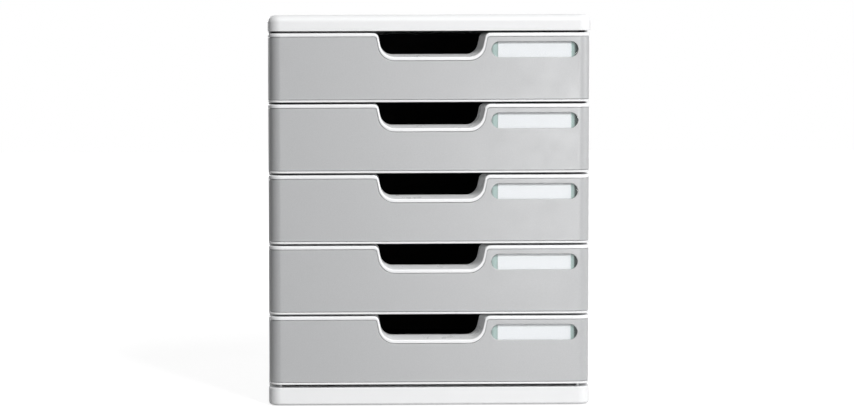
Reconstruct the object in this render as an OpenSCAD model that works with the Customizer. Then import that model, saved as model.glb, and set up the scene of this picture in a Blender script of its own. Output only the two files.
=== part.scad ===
// Desktop cabinet with five sliding drawers for A4 and C4 paper.
// Origin: bottom centre of the feet's plane. +Z is up and the drawers open towards -Y.

/* [Cabinet] */
// Width over the cover and the plinth
cabinet_w = 288; // [270:1:320]
// Depth over the cover and the plinth
cabinet_d = 364; // [330:1:400]
// Plan radius of the vertical corners
corner_r = 11; // [8:0.5:12]
// Thickness of the side walls
side_wall = 2.6; // [2:0.1:3.4]
// Thickness of the rear wall
rear_wall = 2.4; // [1.8:0.1:3.4]
// Wall of the cover and the plinth
shell_wall = 2.6; // [2:0.1:3.4]
// How far the side walls stand in from the cover
wall_inset = 0.8; // [0.4:0.1:1.6]
// How far the rear wall stands in from the cover, clear of its rounded corners
rear_inset = 6.9; // [6.9:0.1:12]

/* [Cover and plinth] */
// Height of the cover
cover_h = 14.4; // [12:0.2:24]
// Radius of the cover's top edge
cover_edge_r = 6.5; // [4:0.5:7.5]
// Height of the plinth, without the feet
plinth_h = 15.8; // [12:0.2:30]
// Radius of the plinth's bottom edge
plinth_edge_r = 2.4; // [1:0.2:4]
// Gap between the plinth and the lowest front
plinth_gap = 2.8; // [2:0.1:4]
// Width of the two nubs under the lowest front
nub_w = 1.8; // [1:0.1:4]
// Distance of each nub from the cabinet's side
nub_edge = 10.5; // [8:0.5:34]
// Length of each nub, front to rear
nub_l = 9; // [5:0.5:12]
// Distance of each nub behind the plinth's face
nub_setback = 7; // [4:0.5:20]

/* [Feet] */
// Diameter of a rubber foot
foot_d = 16; // [10:1:24]
// Height of a rubber foot
foot_h = 3; // [2:0.2:6]
// How far a foot stands proud of the plinth
foot_proud = 1; // [0.6:0.1:1.8]
// Distance of a foot's centre from the cabinet's sides, front and rear
foot_edge = 26; // [20:1:50]
// Wall of the boss round a foot
foot_boss_wall = 2.5; // [1.5:0.1:5]

/* [Casing joints] */
// Length of each tongue on the side walls
tongue_l = 40; // [20:1:60]
// Thickness of each tongue
tongue_t = 2.2; // [1.6:0.1:3]
// Reach of each tongue into the plinth and the cover
tongue_h = 8; // [5:0.5:8.5]
// Distance of the outer tongues' middles from the front and the rear
tongue_edge = 60; // [50:1:100]
// Width of the ledge that the rear wall bears on
rear_ledge = 2; // [1:0.1:4]

/* [Drawer front] */
// Height of a drawer front
front_h = 61.4; // [54:0.2:80]
// Gap above each drawer front
front_gap = 1.8; // [1.2:0.1:3]
// Depth of a drawer front, from its face to the tray
front_d = 24; // [18:0.5:28]
// How far a front stands in from each side of the cover
front_inset = 0.4; // [0.4:0.1:1.6]
// Wall of the front frame
frame_wall = 2.2; // [2:0.1:2.8]
// Height of the rim along the top edge and round the finger notch
top_rim = 3; // [2:0.1:4]
// Height of the rim along the bottom edge
bottom_rim = 1.9; // [1.2:0.1:3]
// Thickness of the grey panel
panel_t = 1.2; // [1:0.1:1.6]
// How far the grey panel lies back from the rims
panel_recess = 0.5; // [0.2:0.1:0.8]
// How far the grey panel runs back along the sides
panel_wrap = 13; // [12:0.5:14.5]

/* [Finger notch] */
// Half the width of the notch's mouth, at the top edge
notch_half = 47.8; // [30:0.2:60]
// Depth of the notch's mouth below the top edge
notch_depth = 21.3; // [16:0.1:26]
// Lean of the notch's sides from the vertical
notch_lean = 20; // [8:1:26]
// Radius of the notch's upper corners
notch_top_r = 5; // [4.4:0.1:8]
// Radius of the notch's lower corners
notch_bottom_r = 9.6; // [7:0.1:12]
// How much the lip narrows the notch all round, from face to tray
notch_flare = 2.3; // [0.4:0.1:3]
// How far the notch moves to the left, from face to tray
notch_drift = 1.5; // [0:0.1:1.6]
// Thickness of the lip round the notch
lip_wall = 1.8; // [1.4:0.1:2.6]
// Sideways place of the notch, from the cabinet's middle
notch_x = 1; // [-4:0.5:4]

/* [Label window] */
// Width of the slot in the grey panel
label_w = 76.8; // [50:0.2:76.8]
// Height of the slot in the grey panel
label_h = 13.8; // [10:0.2:18]
// Distance of the slot's centre from the cabinet's right side
label_edge = 50.4; // [50.4:0.2:54]
// Distance of the slot's centre below the top edge
label_drop = 14.8; // [13:0.2:20]
// Width of the paper card
card_w = 65.6; // [40:0.2:70]
// Thickness of the paper card
card_t = 0.3; // [0.2:0.05:0.5]
// Thickness of the clear window's flange
window_t = 0.8; // [0.6:0.1:1]
// How far the flange reaches past the slot, above and below
window_flange = 1.6; // [1:0.1:2]
// How far the clear window lies back in the slot
window_recess = 0.7; // [0.3:0.1:1]

/* [Tray] */
// Wall of the drawer tray
tray_wall = 1.8; // [1.4:0.1:2.6]
// Height of the tray's underside above the front's bottom edge
tray_z = 1.6; // [1:0.1:2]
// Height of the drawer tray
tray_h = 56.4; // [48:0.2:57]
// Thickness of the tray's front wall, behind the front frame
tray_front_wall = 2; // [1.6:0.1:3]
// Gap between the closed tray and the rear wall
tray_rear_gap = 1.7; // [0.5:0.1:12]
// Plan radius of the tray's rear corners
tray_corner_r = 6; // [3:0.5:10]

/* [Runners] */
// Width of the runner ribs on the side walls
rib_w = 7.4; // [6:0.2:9]
// Thickness of the runner ribs
rib_t = 2.4; // [1.8:0.1:3.2]
// Thickness of the tray's side flange
flange_t = 2.4; // [1.8:0.1:3]
// Height of the flange's underside above the front's bottom edge
flange_z = 40; // [30:0.5:46]
// Clearance between the flange's edge and the side wall
flange_gap = 1.8; // [0.5:0.1:3]
// Height of the stop bumps and stop nubs
stop_h = 1.6; // [1:0.1:2]
// Length of the stop bumps and stop nubs
stop_l = 6; // [4:0.5:10]
// Distance of the stop nubs behind the runners' front ends
stop_setback = 2; // [0:0.5:6]
// Length of flange that stays in the runners at full travel
kept_l = 65; // [50:1:120]

/* [Hidden] */
$fn = 64;
drawer_count = 5; // as many as the node names have
run_gap = 0.3; // clearance of a sliding fit
seat_gap = 0.1; // clearance of pieces that are fixed to each other
over = 1; // how far a cutting shape passes a face

// Cabinet levels and faces
front_y = -cabinet_d / 2;
rear_y = cabinet_d / 2;
plinth_z = foot_proud;
plinth_top = plinth_z + plinth_h;
pitch = front_h + front_gap;
cover_z = plinth_top + plinth_gap + drawer_count * pitch;
nub_x = cabinet_w / 2 - nub_edge;
wall_out = cabinet_w / 2 - wall_inset;
wall_in = wall_out - side_wall;
rear_wall_y = rear_y - rear_inset - rear_wall;

// Drawer front, measured from its bottom edge
front_w = cabinet_w - 2 * front_inset;
front_r = corner_r;
frame_rear = front_y + front_d;
tray_front = frame_rear - tray_front_wall;
panel_seat = panel_recess + panel_t;
frame_skin = panel_seat + frame_wall;
panel_end = front_y + panel_wrap;
label_seat = panel_seat + window_t + card_t + seat_gap;
label_x = cabinet_w / 2 - label_edge;

// Runners and tray
rib_in = wall_in - rib_w;
tray_out = rib_in - 2 * run_gap;
tray_rear = rear_wall_y - tray_rear_gap;
flange_out = wall_in - flange_gap;
channel_h = flange_t + stop_h + 2 * run_gap;
rib_front = frame_rear + run_gap;
rib_rear = rear_wall_y - rear_ledge;
flange_rear = tray_rear - tray_corner_r;
stop_nub_y = rib_front + stop_setback; // the nub in the runner's mouth
stop_bump_y = flange_rear - kept_l; // the bump on the flange, which travels to the nub

// Tongues of the side walls
tongue_out = cabinet_w / 2 - shell_wall - seat_gap;
tongue_ys = [front_y + tongue_edge, 0, rear_y - tongue_edge];

PIECES = ["tray", "front_frame", "front_panel", "label_window", "label_card"];

// Points of an arc about a centre, from angle a0 to a1
function arc_points(centre, r, a0, a1, steps) =
    [for (i = [0 : steps]) let (a = a0 + (a1 - a0) * i / steps) centre + r * [cos(a), sin(a)]];

// Centre of the notch's upper corner, which lies in the front
notch_upper = [notch_half + notch_top_r * (1 - sin(notch_lean)) / cos(notch_lean), -notch_top_r];

// Right half of the notch with sharp upper corners, from above the top edge to the end of its
// flat bottom. Grow moves the outline out into the front, and the lower arc keeps its centre.
function notch_half_points(grow, steps = 6) =
    let (
        mouth_z = notch_flare + over,
        mouth_x = notch_half + grow / cos(notch_lean) + mouth_z * tan(notch_lean),
        lower_z = notch_bottom_r - notch_depth,
        lower_x = notch_half + (lower_z * sin(notch_lean) - notch_bottom_r) / cos(notch_lean)
    )
    concat(
        [[mouth_x, mouth_z]],
        arc_points([lower_x, lower_z], notch_bottom_r + grow, -notch_lean, -90, steps)
    );

// The whole notch outline, about the front's top edge at x = notch_x
function notch_points(grow) =
    let (right = notch_half_points(grow), last = len(right) - 1)
    [for (p = right) [notch_x + p[0], p[1]], for (i = [last : -1 : 0]) [notch_x - right[i][0], right[i][1]]];

// Lowest level of drawer k's front; drawer 1 is the uppermost
function front_z(k) = plinth_top + plinth_gap + (drawer_count - k) * pitch;

module at_drawer(k) {
    translate([0, 0, front_z(k)]) children();
}

// Both sides of the cabinet
module both_sides() {
    children();
    mirror([1, 0, 0]) children();
}

// Extrudes an X-Z outline from y0 to y1
module along_y(y0, y1) {
    translate([0, y1, 0]) rotate([90, 0, 0]) linear_extrude(y1 - y0) children();
}

// Rectangle with rounded corners, centred
module rounded_rect(w, d, r) {
    square([w - 2 * r, d], center = true);
    square([w, d - 2 * r], center = true);
    for (sx = [-1, 1], sy = [-1, 1])
        translate([sx * (w / 2 - r), sy * (d / 2 - r)]) circle(r);
}

// Slab on z = 0 with plan radius r and its top edge rounded by e
module rounded_slab(w, d, h, r, e) {
    // cross-section through one straight side, out from the edge of the flat top
    module edge_profile(flat) {
        square([flat - e, h]);
        square([flat, h - e]);
        intersection() {
            translate([flat - e, h - e]) circle(e);
            translate([flat - e, h - e]) square(e);
        }
    }
    for (sx = [-1, 1], sy = [-1, 1])
        translate([sx * (w / 2 - r), sy * (d / 2 - r), 0]) rotate_extrude() edge_profile(r);
    for (side = [0, 1]) mirror([side, 0, 0])
        translate([0, d / 2 - r, 0]) rotate([90, 0, 0]) linear_extrude(d - 2 * r) edge_profile(w / 2);
    for (side = [0, 1]) mirror([0, side, 0])
        translate([r - w / 2, 0, 0]) rotate([90, 0, 90]) linear_extrude(w - 2 * r) edge_profile(d / 2);
}

// Plan of a drawer front, rounded at its front corners, inset from its outer face, back to y = back
module front_plan(inset, back) {
    half = front_w / 2 - inset;
    r = front_r - inset;
    y0 = front_y + inset;
    translate([r - half, y0]) square([2 * (half - r), back - y0]);
    translate([-half, y0 + r]) square([2 * half, back - y0 - r]);
    for (side = [0, 1]) mirror([side, 0]) translate([half - r, y0 + r]) intersection() {
        circle(r);
        translate([0, -r]) square(r);
    }
}

// The band that the grey panel fills, from inset i0 to i1
module panel_band(i0, i1, z0, z1) {
    translate([0, 0, z0]) linear_extrude(z1 - z0) difference() {
        front_plan(i0, panel_end);
        front_plan(i1, panel_end + over);
    }
}

// Prism of the notch outline through the front, grown into it
module notch_prism(grow, y0, y1) {
    along_y(y0, y1) translate([0, front_h]) polygon(notch_points(grow));
}

// What rounding takes off the notch's two upper corners
module notch_corners(y0, y1) {
    corner_z = notch_upper[1] + notch_top_r * sin(notch_lean);
    reach = notch_upper[0] - notch_half + 2 * notch_top_r;
    along_y(y0, y1) translate([notch_x, front_h]) for (side = [0, 1]) mirror([side, 0]) difference() {
        translate([notch_upper[0] - reach, corner_z]) square([reach, over - corner_z]);
        translate(notch_upper) circle(notch_top_r);
    }
}

// The notch as it narrows from its mouth at the face to the tray's front wall and past it
module notch_funnel() {
    lip_d = tray_front - front_y;
    rings = [for (d = [-over, front_d + over]) [for (p = notch_points(-notch_flare * d / lip_d))
        [p[0] - notch_drift * d / lip_d, front_y + d, front_h + p[1]]]];
    count = len(rings[0]);
    polyhedron(
        points = concat(rings[0], rings[1]),
        faces = concat(
            [[for (i = [0 : count - 1]) i]],
            [[for (i = [count - 1 : -1 : 0]) count + i]],
            [for (i = [0 : count - 1]) [i, count + i, count + (i + 1) % count, (i + 1) % count]]
        )
    );
}

// Stadium outline of the label slot, grown by a height and a width
module label_outline(taller, wider) {
    h = label_h + 2 * taller;
    w = label_w + 2 * wider;
    translate([label_x, front_h - label_drop]) {
        square([w - h, h], center = true);
        for (side = [-1, 1]) translate([side * (w - h) / 2, 0]) circle(h / 2);
    }
}

// ---- Casing ----

module base() {
    color("whitesmoke") difference() {
        union() {
            translate([0, 0, plinth_top]) mirror([0, 0, 1])
                rounded_slab(cabinet_w, cabinet_d, plinth_h, corner_r, plinth_edge_r);
            for (side = [-1, 1])
                translate([side * nub_x - nub_w / 2, front_y + nub_setback, plinth_top - over])
                    cube([nub_w, nub_l, over + plinth_gap - run_gap]);
        }
        // hollow underside, with a boss left over each foot
        difference() {
            translate([0, 0, plinth_z - over]) linear_extrude(plinth_h - shell_wall + over)
                rounded_rect(cabinet_w - 2 * shell_wall, cabinet_d - 2 * shell_wall, corner_r - shell_wall);
            for (p = foot_places())
                translate([p[0], p[1], plinth_z]) cylinder(d = foot_d + 2 * foot_boss_wall, h = plinth_h);
        }
        for (p = foot_places())
            translate([p[0], p[1], plinth_z - over])
                cylinder(d = foot_d + 2 * seat_gap, h = foot_h - foot_proud + over);
        // slots for the tongues of the side walls
        slot_h = shell_wall + 2 * over;
        both_sides() for (y = tongue_ys)
            translate([tongue_out - tongue_t / 2, y, plinth_top - shell_wall / 2])
                cube([tongue_t + 2 * seat_gap, tongue_l + 2 * seat_gap, slot_h], center = true);
    }
}

function foot_places() = [for (sx = [-1, 1], sy = [-1, 1])
    [sx * (cabinet_w / 2 - foot_edge), sy * (cabinet_d / 2 - foot_edge)]];

module feet() {
    color("dimgray") for (p = foot_places()) translate([p[0], p[1], 0]) cylinder(d = foot_d, h = foot_h);
}

module top_cover() {
    color("white") translate([0, 0, cover_z]) difference() {
        rounded_slab(cabinet_w, cabinet_d, cover_h, corner_r, cover_edge_r);
        translate([0, 0, -over]) rounded_slab(
            cabinet_w - 2 * shell_wall,
            cabinet_d - 2 * shell_wall,
            cover_h - shell_wall + over,
            corner_r - shell_wall,
            cover_edge_r - shell_wall
        );
    }
}

// The wall on the +X side, with a channel for each drawer's flange
module side_wall_panel() {
    wall_l = rear_wall_y + rear_wall - rib_front;
    translate([wall_in, rib_front, plinth_top]) cube([side_wall, wall_l, cover_z - plinth_top]);
    // tongues into the plinth and the cover, each on a thicker foot
    for (y = tongue_ys) {
        translate([tongue_out - tongue_t, y - tongue_l / 2, plinth_top - tongue_h])
            cube([tongue_t, tongue_l, 2 * tongue_h - over]);
        translate([tongue_out - tongue_t, y - tongue_l / 2, cover_z - tongue_h + over])
            cube([tongue_t, tongue_l, 2 * tongue_h - over]);
    }
    // ledge that the rear wall bears on
    translate([wall_in - rear_ledge, rib_rear, plinth_top])
        cube([rear_ledge + over, rear_ledge, cover_z - plinth_top]);
    for (k = [1 : drawer_count]) at_drawer(k) runner_channel();
}

module runner_channel() {
    rib_l = rib_rear - rib_front;
    lower_top = flange_z - run_gap;
    translate([rib_in, rib_front, lower_top - rib_t]) cube([rib_w + over, rib_l, rib_t]);
    translate([rib_in, rib_front, lower_top + channel_h + run_gap]) cube([rib_w + over, rib_l, rib_t]);
    // stop nub under the upper rib, near the channel's mouth
    translate([rib_in, stop_nub_y, lower_top + channel_h + run_gap - stop_h])
        cube([rib_w + over, stop_l, stop_h + over]);
    // block that the closed tray's flange meets
    translate([rib_in, flange_rear + run_gap, lower_top - over])
        cube([rib_w + over, rib_rear - flange_rear - run_gap, channel_h + run_gap + 2 * over]);
}

module right_side_panel() {
    color("gainsboro") side_wall_panel();
}

module left_side_panel() {
    color("gainsboro") mirror([1, 0, 0]) side_wall_panel();
}

module back_panel() {
    half = wall_in - seat_gap;
    color("gainsboro") translate([-half, rear_wall_y, plinth_top])
        cube([2 * half, rear_wall, cover_z - plinth_top]);
}

// ---- Drawer ----

module tray() {
    plate_half = front_w / 2 - frame_skin - seat_gap;
    color([0.09, 0.09, 0.1]) {
        difference() {
            // open box, rounded at the rear
            translate([0, 0, tray_z]) linear_extrude(tray_h)
                tray_plan(0, frame_rear);
            translate([0, 0, tray_z + tray_wall]) linear_extrude(tray_h)
                tray_plan(tray_wall, frame_rear - over);
        }
        // front wall, inside the front frame
        difference() {
            translate([-plate_half, tray_front, frame_wall + seat_gap])
                cube([2 * plate_half, tray_front_wall, front_h - 2 * (frame_wall + seat_gap)]);
            translate([-notch_drift, 0, 0]) notch_prism(-notch_flare, tray_front - over, frame_rear + over);
            notch_corners(tray_front - over, frame_rear + over);
        }
        both_sides() {
            translate([tray_out - over, frame_rear - over, flange_z])
                cube([flange_out - tray_out + over, flange_rear - frame_rear + over, flange_t]);
            translate([tray_out - over, stop_bump_y, flange_z])
                cube([flange_out - tray_out + over, stop_l, flange_t + stop_h]);
        }
    }
}

// Plan of the tray from y = y0, inset from its outer walls, rounded at the rear
module tray_plan(inset, y0) {
    half = tray_out - inset;
    y1 = tray_rear - inset;
    r = tray_corner_r - inset;
    translate([-half, y0]) square([2 * half, y1 - y0 - r]);
    translate([r - half, y0]) square([2 * (half - r), y1 - y0]);
    for (side = [-1, 1]) translate([side * (half - r), y1 - r]) circle(r);
}

module front_frame() {
    color("white") difference() {
        union() {
            difference() {
                linear_extrude(front_h) front_plan(0, frame_rear);
                // hollow behind the front skin
                translate([0, 0, frame_wall]) linear_extrude(front_h - 2 * frame_wall)
                    front_plan(frame_skin, frame_rear + over);
            }
            // lip that runs back to the tray's front wall
            intersection() {
                notch_prism(lip_wall, front_y, tray_front);
                translate([-front_w / 2, front_y, 0]) cube([front_w, front_d, front_h]);
            }
        }
        notch_funnel();
        notch_corners(front_y - over, frame_rear + over);
        // seat of the grey panel
        difference() {
            panel_band(-over, panel_seat, bottom_rim, front_h - top_rim);
            notch_prism(top_rim, front_y - 2 * over, front_y + front_d);
        }
        // pocket for the label card and its window
        along_y(front_y, front_y + label_seat) label_outline(window_flange + seat_gap, seat_gap);
    }
}

module front_panel() {
    color("silver") difference() {
        panel_band(panel_recess, panel_seat, bottom_rim + seat_gap, front_h - top_rim - seat_gap);
        notch_prism(top_rim + seat_gap, front_y - over, front_y + front_d);
        along_y(front_y - over, front_y + panel_seat + over) label_outline(0, 0);
    }
}

module label_window() {
    flange_front = front_y + panel_seat;
    color([0.75, 0.85, 0.83, 0.4]) union() {
        along_y(flange_front, flange_front + window_t) label_outline(window_flange, 0);
        along_y(front_y + panel_recess + window_recess, flange_front + window_t)
            label_outline(-seat_gap, -seat_gap);
    }
}

module label_card() {
    back = front_y + label_seat;
    card_h = label_h + window_flange;
    color("ghostwhite") translate([label_x - card_w / 2, back - card_t, front_h - label_drop - card_h / 2])
        cube([card_w, card_t, card_h]);
}

base();
top_cover();
left_side_panel();
right_side_panel();
back_panel();
feet();
for (k = [1 : drawer_count]) {
    at_drawer(k) tray();
    at_drawer(k) front_frame();
    at_drawer(k) front_panel();
    at_drawer(k) label_window();
    at_drawer(k) label_card();
}
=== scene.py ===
"""Desktop cabinet with five sliding paper drawers: its detailed pieces, finishes and studio."""

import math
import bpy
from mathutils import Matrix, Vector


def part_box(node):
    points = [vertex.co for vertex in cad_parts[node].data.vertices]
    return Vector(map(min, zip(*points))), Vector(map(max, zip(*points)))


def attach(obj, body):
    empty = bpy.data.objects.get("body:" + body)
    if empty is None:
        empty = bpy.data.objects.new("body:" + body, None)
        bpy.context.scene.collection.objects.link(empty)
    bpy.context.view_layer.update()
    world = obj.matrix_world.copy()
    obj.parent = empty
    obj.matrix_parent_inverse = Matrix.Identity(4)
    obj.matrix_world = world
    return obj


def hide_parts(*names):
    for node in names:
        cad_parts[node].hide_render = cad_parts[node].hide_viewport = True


bl_info = {
    "name": "Desktop drawer cabinet",
    "version": (1, 0, 0),
    "blender": (4, 5, 0),
    "location": "3D View > Sidebar > Cabinet",
    "description": "Builds the detailed pieces, finishes and studio of a cabinet with five paper drawers",
    "category": "Object",
}

import bmesh
import bpy
import numpy as np
from bpy.props import FloatProperty, FloatVectorProperty, PointerProperty
from mathutils import Euler, Vector

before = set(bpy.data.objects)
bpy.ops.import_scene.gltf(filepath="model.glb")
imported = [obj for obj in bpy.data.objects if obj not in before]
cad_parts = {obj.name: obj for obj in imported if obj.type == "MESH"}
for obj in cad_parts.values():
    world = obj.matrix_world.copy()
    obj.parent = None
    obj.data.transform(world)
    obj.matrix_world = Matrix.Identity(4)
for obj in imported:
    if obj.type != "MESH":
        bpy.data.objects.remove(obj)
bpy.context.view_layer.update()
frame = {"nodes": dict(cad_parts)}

MM = 0.001
DRAWERS = range(1, 6)
ARC = 10  # segments of a quarter circle
FINE_ARC = 3  # segments of a small edge rounding
MERGE = 2e-6  # points nearer than this become one
SHARP_ANGLE = math.radians(38)  # edges sharper than this aren't shaded smooth
BITE = 1 * MM  # how far a bar runs into the one that it grows from
WALL_EDGE = 0.5 * MM  # rounding of the walls' edges

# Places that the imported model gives
COVER_LOW, COVER_HIGH = (np.array(p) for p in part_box("top_cover"))
PLINTH_LOW, PLINTH_HIGH = (np.array(p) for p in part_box("base"))
FEET_LOW, FEET_HIGH = (np.array(p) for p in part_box("feet"))
BACK_LOW, BACK_HIGH = (np.array(p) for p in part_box("back_panel"))
SIDE_LOW, SIDE_HIGH = (np.array(p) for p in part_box("right_side_panel"))
PLINTH_TOP = BACK_LOW[2]


def drawer_box(k, piece):
    """Lowest and highest corner of one piece of drawer k."""
    return tuple(np.array(p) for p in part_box(f"drawer_{k}_{piece}"))


# ---- Settings that a user would change ----


def length(name, description, default):
    """A length property, given in millimetres and kept in metres."""
    return FloatProperty(name=name, description=description, default=default * MM, unit="LENGTH",
                         precision=5)


def angle(name, description, default):
    """An angle property, given in degrees and kept in radians."""
    return FloatProperty(name=name, description=description, default=math.radians(default), unit="ROTATION")


def colour(name, description, default):
    """A linear colour property."""
    return FloatVectorProperty(name=name, description=description, default=default, subtype="COLOR",
                               size=3, min=0, max=1)


def share(name, description, default):
    """A number from 0 to 1."""
    return FloatProperty(name=name, description=description, default=default, min=0, max=1, subtype="FACTOR")


def number(name, description, default, unit="NONE"):
    """A plain number property."""
    return FloatProperty(name=name, description=description, default=default, unit=unit)


class CabinetSizes(bpy.types.PropertyGroup):
    """Sizes of the shapes that the detailed pieces have."""

    corner: length("Corner radius", "Plan radius of the cabinet's vertical corners", 11)
    cover_edge: length("Cover edge", "Radius of the cover's top edge", 6.5)
    plinth_top_edge: length("Plinth top edge", "Radius of the plinth's top edge", 0.8)
    plinth_edge: length("Plinth bottom edge", "Radius of the plinth's bottom edge", 2.4)
    wall: length("Shell wall", "Wall of the cover and the plinth", 2.6)
    rim_top: length("Top rim", "Height of the white rim along the top edge and below the notch", 3)
    rim_side: length("Side rim", "Width of the white rim along the notch's leaning sides", 1.8)
    rim_bottom: length("Bottom rim", "Height of the white rim along the bottom", 1.9)
    rim_round: length("Rim rounding", "Radius of the rim's outer edge", 0.9)
    frame_wall: length("Frame wall", "Wall of the front frame", 2.2)
    lip_wall: length("Lip wall", "Thickness of the lip round the notch", 1.8)
    panel_recess: length("Panel recess", "How far the grey panel lies behind the rims", 0.5)
    panel_thick: length("Panel thickness", "Thickness of the grey panel", 1.2)
    panel_wrap: length("Panel wrap", "How far the grey panel runs back along the sides", 13)
    panel_gap: length("Panel gap", "Width of the fine gap between the panel and the rims", 0.3)
    notch_half: length("Notch half width", "Half the width of the finger notch at the top edge", 48.3)
    notch_depth: length("Notch depth", "Depth of the finger notch", 21.3)
    notch_top_r: length("Notch upper radius", "Radius of the notch's upper corners", 5)
    notch_bottom_r: length("Notch lower radius", "Radius of the notch's lower corners", 13.2)
    notch_lean: angle("Notch lean", "Lean of the notch's sides from the vertical", 12)
    notch_x: length("Notch place", "Sideways place of the notch's middle", 2)
    flare: length("Lip flare", "How much the lip narrows the notch from the face to the tray", 2.3)
    drift: length("Lip drift", "How far the notch moves to the left from the face to the tray", 1.5)
    label_w: length("Label width", "Width of the label slot", 76.8)
    label_h: length("Label height", "Height of the label slot", 13.8)
    tray_wall: length("Tray wall", "Wall of the drawer tray", 1.8)
    tray_h: length("Tray height", "Height of the drawer tray", 56.4)
    tray_corner: length("Tray corner", "Plan radius of the tray's rear corners", 6)


class CabinetFinishes(bpy.types.PropertyGroup):
    """Colours and roughness of the finishes."""

    casing: colour("Casing", "White of the cover, the plinth and the walls", (0.80, 0.805, 0.81))
    frame: colour("Front frame", "White of the front frames", (0.86, 0.865, 0.87))
    panel: colour("Panel", "Grey of the front panels", (0.41, 0.415, 0.422))
    tray: colour("Tray", "Black of the drawer trays", (0.008, 0.008, 0.009))
    window: colour("Window", "Tint of the clear label windows", (0.988, 0.998, 0.995))
    # Painted shade: this darker tint stands in for the shaded recess behind the windows' ends
    window_end: colour("Window ends", "Tint of the label windows beyond the card", (0.83, 0.885, 0.875))
    card: colour("Card", "White of the paper cards", (0.9, 0.89, 0.92))
    foot: colour("Feet", "Black of the rubber feet", (0.03, 0.03, 0.03))
    casing_rough: share("Casing roughness", "Roughness of the casing", 0.48)
    frame_rough: share("Frame roughness", "Roughness of the front frames", 0.3)
    panel_rough: share("Panel roughness", "Roughness of the front panels", 0.36)
    tray_rough: share("Tray roughness", "Roughness of the drawer trays", 0.5)


class CabinetStudio(bpy.types.PropertyGroup):
    """Lights and camera."""

    camera_x: length("Camera place", "Sideways place of the camera", -135)
    camera_z: length("Camera height", "Height of the camera above the floor", 348)
    distance: length("Camera distance", "Distance from the drawer fronts to the camera", 2200)
    yaw: angle("Camera turn", "How far the camera is turned to the right", 0.48)
    pitch: angle("Camera tilt", "How far the camera looks down", 3.665)
    roll: angle("Camera roll", "How far the camera leans to the right", 0.205)
    lens: number("Lens", "Focal length in millimetres", 104.38, "CAMERA")
    shift_x: number("Sideways shift", "Lens shift that keeps the fronts square to the view", 0.15)
    shift_y: number("Vertical shift", "Lens shift that keeps the sides upright", -0.034)
    key: number("Key lamp", "Power of the large lamp above and in front", 210, "POWER")
    side: number("Side lamp", "Power of the lamp low in front, at the right", 10, "POWER")
    fill: number("Fill lamp", "Power of the lamp at the left", 1.6, "POWER")
    right: number("Right lamp", "Power of the lamp beside the right wall", 19, "POWER")
    rear: number("Rear lamp", "Power of the lamp behind and at the left", 48, "POWER")
    surround: number("Surroundings", "Strength of the even light all round", 0.1)


# ---- Surfaces ----


def grid_faces(rows, cols, wrap_rows=False, wrap_cols=False):
    """Quads of a grid of points: each joins two neighbours of a row with the same two of the next row."""
    row_count, col_count = rows - (not wrap_rows), cols - (not wrap_cols)
    r, c = np.meshgrid(np.arange(row_count), np.arange(col_count), indexing="ij")
    r2, c2 = (r + 1) % rows, (c + 1) % cols
    return np.stack([r * cols + c, r * cols + c2, r2 * cols + c2, r2 * cols + c], -1).reshape(-1, 4)


def rounding(radius, steps=FINE_ARC):
    """Quarter circle as (inset, rise) pairs, from (radius, radius) on an edge's top to (0, 0)."""
    a = np.linspace(0, math.pi / 2, steps + 1)
    return radius * np.stack([1 - np.sin(a), np.cos(a)], -1)


class Shape:
    """Collects surfaces and turns them into one mesh."""

    def __init__(self):
        self.points, self.faces, self.count = [], [], 0

    def add(self, points, quads, polygons=()):
        """Adds points (..., 3), quads (m, 4) and flat faces of any size, each a list of point numbers."""
        points = np.asarray(points, float).reshape(-1, 3)
        self.faces += (np.asarray(quads) + self.count).tolist()
        self.faces += [(np.asarray(p) + self.count).tolist() for p in polygons]
        self.points.append(points)
        self.count += len(points)
        return self

    def loft(self, rings):
        """Closed surface through rings (rows, cols, 3), with a flat face on the first and the last ring."""
        rows, cols = rings.shape[:2]
        ends = [np.arange(cols), (rows - 1) * cols + np.arange(cols)]
        return self.add(rings, grid_faces(rows, cols, wrap_cols=True), ends)

    def build(self, name, open_towards=None):
        """Mesh object at the origin: doubles merged, faces turned outwards, smooth but for real edges.

        An open surface gives the direction that its faces look to instead.
        """
        mesh = bpy.data.meshes.new(name)
        mesh.from_pydata(np.concatenate(self.points), [], self.faces)
        work = bmesh.new()
        work.from_mesh(mesh)
        bmesh.ops.remove_doubles(work, verts=work.verts, dist=MERGE)
        bmesh.ops.recalc_face_normals(work, faces=work.faces)
        if open_towards is not None:
            seen = sum((f.normal * f.calc_area() for f in work.faces), Vector())
            if seen.dot(Vector(open_towards)) < 0:
                bmesh.ops.reverse_faces(work, faces=work.faces)
        work.to_mesh(mesh)
        work.free()
        mesh.shade_smooth()
        mesh.set_sharp_from_angle(angle=SHARP_ANGLE)
        piece = bpy.data.objects.new(name, mesh)
        bpy.context.scene.collection.objects.link(piece)
        return piece


def carried(outline, normals, profile, axes="xyz"):
    """Rings of a flat outline carried along a profile of (inset, travel) pairs.

    A ring's point is outline - inset * normal in the first two axes, and travel along the third.
    """
    profile = np.asarray(profile)
    rings = np.empty((len(profile), len(outline), 3))
    flat = outline[None] - profile[:, 0, None, None] * normals[None]
    first, second, third = ("xyz".index(a) for a in axes)
    rings[..., first], rings[..., second] = flat[..., 0], flat[..., 1]
    rings[..., third] = profile[:, 1, None]
    return rings


def rounded_outline(half_w, half_d, radius, steps=ARC, centre=(0, 0)):
    """Outline of a rounded rectangle, with a quarter circle at each corner, and its outward normals."""
    a = np.linspace(0, math.pi / 2, steps + 1)[None] + (math.pi / 2) * np.arange(4)[:, None]
    normals = np.stack([np.cos(a), np.sin(a)], -1)
    corners = np.array([[1, 1], [-1, 1], [-1, -1], [1, -1]]) * [half_w - radius, half_d - radius]
    return (corners[:, None] + radius * normals).reshape(-1, 2) + centre, normals.reshape(-1, 2)


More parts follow.
